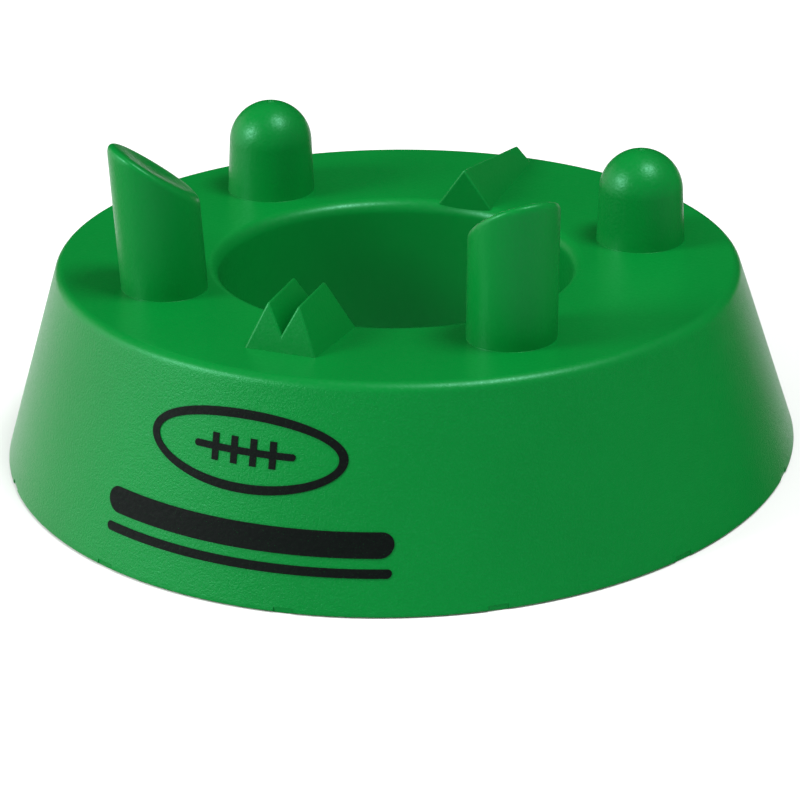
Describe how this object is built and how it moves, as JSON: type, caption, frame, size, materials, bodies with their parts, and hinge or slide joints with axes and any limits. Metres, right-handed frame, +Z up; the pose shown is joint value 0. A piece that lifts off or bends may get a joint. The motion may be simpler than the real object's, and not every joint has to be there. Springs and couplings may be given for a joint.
{
  "type": "rugby kicking tee",
  "caption": "Low round place-kicking tee: hollow conical skirt, sloping deck, through well, domed pegs, slant-cut posts and ridge sights on the deck.",
  "frame": {"origin": "centre of the base, on the ground", "axes": "+Z up; +Y is the line of symmetry, from the high side with the twin ridge to the low side with the wedge ridge; +X is square to it"},
  "size_m": [0.15, 0.15, 0.068],
  "materials": {
    "green_rubber": "fine satin moulded grain",
    "black_ink": "matte printed ink"
  },
  "bodies": {
    "root": {"deck_plate": "green_rubber", "dome_peg_left": "green_rubber", "dome_peg_right": "green_rubber", "printed_ball_laces": "black_ink", "printed_ball_outline": "black_ink", "printed_bar_lower": "black_ink", "printed_bar_upper": "black_ink", "scooped_post_left": "green_rubber", "scooped_post_right": "green_rubber", "skirt_wall": "green_rubber", "twin_ridge_left": "green_rubber", "twin_ridge_right": "green_rubber", "underside_rib_1": "green_rubber", "underside_rib_2": "green_rubber", "underside_rib_3": "green_rubber", "underside_rib_4": "green_rubber", "underside_rib_5": "green_rubber", "underside_rib_6": "green_rubber", "wedge_ridge": "green_rubber", "well_wall": "green_rubber"}
  },
  "joints": []
}
